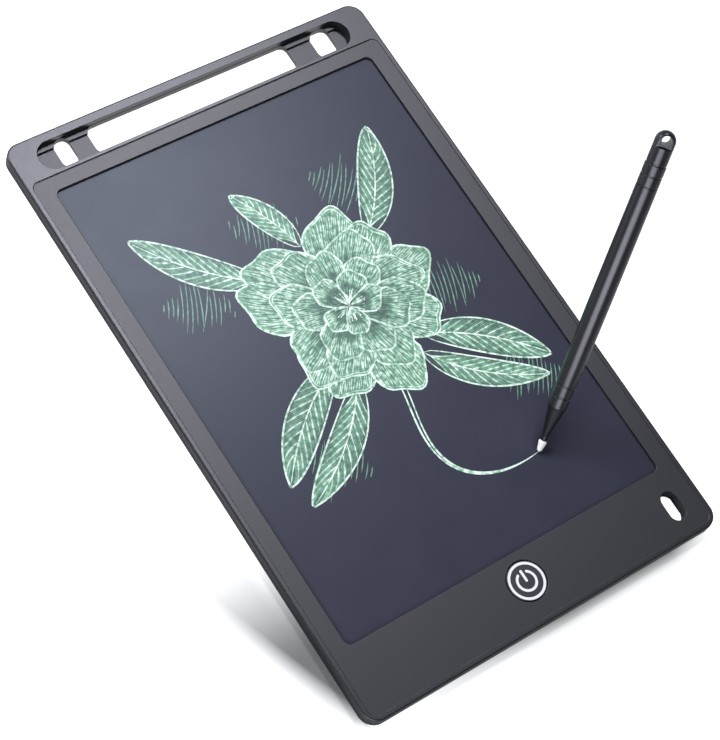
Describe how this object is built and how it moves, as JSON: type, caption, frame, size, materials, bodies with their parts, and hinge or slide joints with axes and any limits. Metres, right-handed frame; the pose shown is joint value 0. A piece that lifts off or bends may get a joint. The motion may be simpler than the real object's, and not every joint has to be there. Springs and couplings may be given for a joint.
{
  "type": "lcd writing tablet",
  "caption": "Thin writing tablet with a pressure-sensitive film screen, erase button, pen tray, lanyard slot and back lock slide, with a stylus standing on the screen.",
  "frame": {"origin": "middle of the tablet's flat back face, which it lies on", "axes": "+X across the tablet to the right as it is read, +Y towards the pen tray, +Z out of the screen"},
  "size_m": [0.158, 0.225, 0.0946],
  "materials": {
    "case_plastic": "fine-grained moulded ABS, charcoal",
    "button_plastic": "moulded ABS with a white printed ring and bar",
    "writing_film": "semi-gloss film, dark slate",
    "black_sheet": "matt black sheet",
    "tape": "double-sided tissue tape",
    "support_plastic": "plain white polystyrene sheet",
    "circuit_board": "green solder mask",
    "component_black": "moulded epoxy and ferrite",
    "component_ceramic": "sintered, tan",
    "connector_white": "nylon",
    "tail_film": "amber polyimide",
    "plated_steel": "nickel plated",
    "knob_plastic": "moulded ABS, black",
    "pen_plastic": "satin moulded ABS, near black",
    "nib_plastic": "white acetal"
  },
  "bodies": {
    "case": {"back_cover": "case_plastic", "front_frame": "case_plastic", "film_tape": "tape", "writing_film": "writing_film", "black_backing_sheet": "black_sheet", "support_board": "support_plastic", "push_switch_body": "component_black", "main_board": "circuit_board", "board_screw_1": "plated_steel", "board_screw_2": "plated_steel", "driver_chip": "component_black", "boost_coil": "component_black", "storage_capacitor": "component_ceramic", "tail_connector": "connector_white", "film_tail": "tail_film", "coin_cell": "plated_steel", "battery_leaf_negative": "plated_steel", "battery_leaf_positive": "plated_steel", "battery_door": "case_plastic", "battery_door_screw": "plated_steel", "lock_switch_body": "plated_steel"},
    "erase_button": {"erase_button": "button_plastic", "push_switch_plunger": "connector_white"},
    "lock_switch_knob": {"lock_switch_knob": "knob_plastic"},
    "stylus": {"stylus_nib": "nib_plastic", "stylus_grip": "pen_plastic", "stylus_barrel": "pen_plastic", "stylus_end_cap": "pen_plastic"}
  },
  "joints": [
    {"name": "button_press", "type": "slide", "parent": "case", "child": "erase_button", "axis": [0, 0, -1], "range_m": [0, 0.00025], "stiffness_N_per_m": 1500, "springref_m": -0.0003},
    {"name": "lock_slide", "type": "slide", "parent": "case", "child": "lock_switch_knob", "axis": [1, 0, 0], "range_m": [0, 0.002]},
    {"name": "stylus_lift", "type": "slide", "parent": "case", "child": "stylus", "axis": [0.4541, 0.4416, 0.7738], "range_m": [0, 0.12]}
  ]
}
